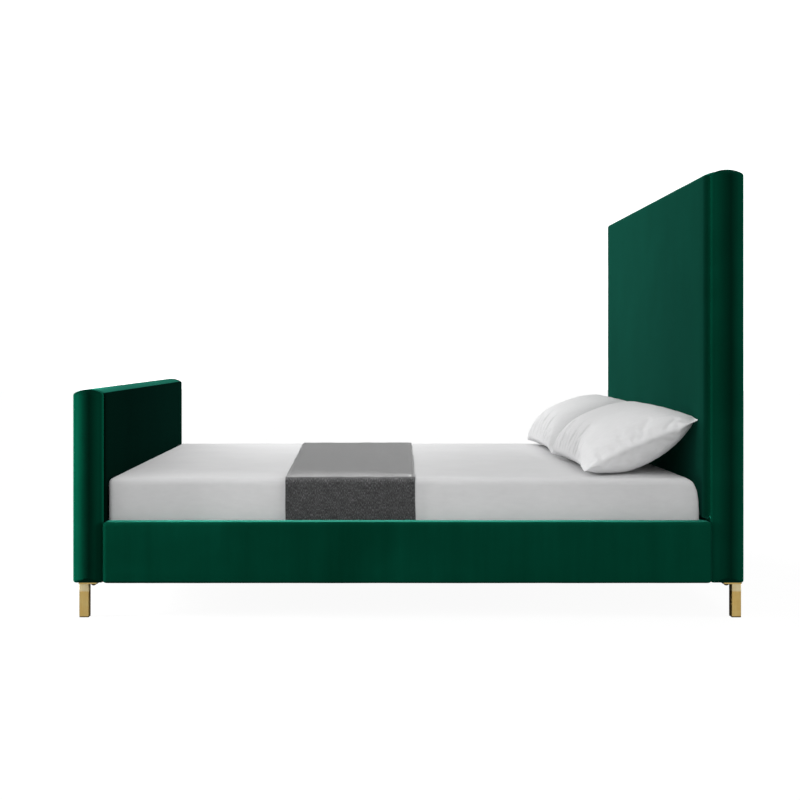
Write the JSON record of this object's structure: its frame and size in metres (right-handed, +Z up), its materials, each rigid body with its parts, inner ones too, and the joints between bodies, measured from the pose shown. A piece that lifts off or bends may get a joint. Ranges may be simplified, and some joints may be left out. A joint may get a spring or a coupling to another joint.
{
  "type": "upholstered bed",
  "caption": "Queen-size upholstered bed with a tall padded headboard, low footboard, side rails on short square metal legs, slatted base, mattress, pillows and a throw.",
  "frame": {"origin": "centre of the bed's footprint, on the floor", "axes": "+X from the foot towards the headboard, +Y towards the left side of someone looking from the foot to the head, +Z up"},
  "size_m": [2.274, 1.66, 1.518],
  "materials": {
    "velvet": "emerald velvet with a soft sheen",
    "foam": "open-cell upholstery foam",
    "dust_cloth": "black non-woven dust cloth",
    "pine": "sanded softwood",
    "plywood": "thin plywood",
    "webbing": "woven cotton webbing",
    "black_steel": "black powder-coated steel",
    "zinc_steel": "zinc-plated steel",
    "black_plastic": "black nylon",
    "brass": "brushed brass",
    "dark_steel": "dark burnished steel",
    "ticking": "quilted mattress ticking over foam",
    "sheet_cotton": "white cotton percale",
    "pillow_cotton": "crisp white cotton pillowcase",
    "throw_wool": "grey melange woven wool"
  },
  "bodies": {
    "frame": {"beam_hanger_foot": "black_steel", "beam_hanger_head": "black_steel", "bracket_bolts": "zinc_steel", "centre_beam": "pine", "centre_leg_dowels": "pine", "centre_leg_foot": "pine", "centre_leg_head": "pine", "footboard_bolting_plank": "pine", "footboard_bottom_rail": "pine", "footboard_cover": "velvet", "footboard_end_cover_left": "velvet", "footboard_end_cover_right": "velvet", "footboard_face_panel": "plywood", "footboard_foam": "foam", "footboard_stile_left": "pine", "footboard_stile_right": "pine", "footboard_top_rail": "pine", "headboard_back_cloth": "dust_cloth", "headboard_bolting_plank": "pine", "headboard_bottom_rail": "pine", "headboard_cover": "velvet", "headboard_end_cover_left": "velvet", "headboard_end_cover_right": "velvet", "headboard_face_panel": "plywood", "headboard_foam": "foam", "headboard_stile_left": "pine", "headboard_stile_right": "pine", "headboard_top_rail": "pine", "leg_dome_nuts": "dark_steel", "leg_foot_left": "brass", "leg_foot_right": "brass", "leg_glides": "black_plastic", "leg_head_left": "brass", "leg_head_right": "brass", "leg_plates": "brass", "rail_bracket_foot_left": "black_steel", "rail_bracket_foot_right": "black_steel", "rail_bracket_head_left": "black_steel", "rail_bracket_head_right": "black_steel", "side_rail_board_left": "pine", "side_rail_board_right": "pine", "side_rail_cover_left": "velvet", "side_rail_cover_right": "velvet", "side_rail_foam_left": "foam", "side_rail_foam_right": "foam", "slat_cleat_left": "pine", "slat_cleat_right": "pine", "slat_straps": "webbing", "slats": "pine", "tee_nuts": "zinc_steel", "wood_screws": "zinc_steel"},
    "mattress": {"mattress": "ticking", "fitted_sheet": "sheet_cotton"},
    "throw": {"throw": "throw_wool"},
    "pillow_left": {"pillow_left": "pillow_cotton"},
    "pillow_right": {"pillow_right": "pillow_cotton"},
    "levelling_pad_foot": {"levelling_pad_foot": "black_plastic"},
    "levelling_stud_foot": {"levelling_stud_foot": "zinc_steel"},
    "levelling_pad_head": {"levelling_pad_head": "black_plastic"},
    "levelling_stud_head": {"levelling_stud_head": "zinc_steel"}
  },
  "joints": [
    {"name": "mattress_lift", "type": "slide", "parent": "frame", "child": "mattress", "axis": [0, 0, 1], "range_m": [0, 0.6]},
    {"name": "throw_lift", "type": "slide", "parent": "mattress", "child": "throw", "axis": [0, 0, 1], "range_m": [0, 0.35]},
    {"name": "pillow_left_lift", "type": "slide", "parent": "mattress", "child": "pillow_left", "axis": [0, 0, 1], "range_m": [0, 0.4]},
    {"name": "pillow_right_lift", "type": "slide", "parent": "mattress", "child": "pillow_right", "axis": [0, 0, 1], "range_m": [0, 0.4]},
    {"name": "leveller_foot_height", "type": "slide", "parent": "frame", "child": "levelling_pad_foot", "axis": [0, 0, 1], "range_m": [-0.0018, 0.008]},
    {"name": "leveller_foot_turn", "type": "hinge", "parent": "levelling_pad_foot", "child": "levelling_stud_foot", "pos_m": [-0.35, 0, 0.02], "axis": [0, 0, 1], "range_deg": [-360, 1800]},
    {"name": "leveller_head_height", "type": "slide", "parent": "frame", "child": "levelling_pad_head", "axis": [0, 0, 1], "range_m": [-0.0018, 0.008]},
    {"name": "leveller_head_turn", "type": "hinge", "parent": "levelling_pad_head", "child": "levelling_stud_head", "pos_m": [0.35, 0, 0.02], "axis": [0, 0, 1], "range_deg": [-360, 1800]}
  ],
  "couplings": [
    {"joint": "leveller_foot_height", "follows": "leveller_foot_turn", "m_per_rad": 0.00023873},
    {"joint": "leveller_head_height", "follows": "leveller_head_turn", "m_per_rad": 0.00023873}
  ]
}
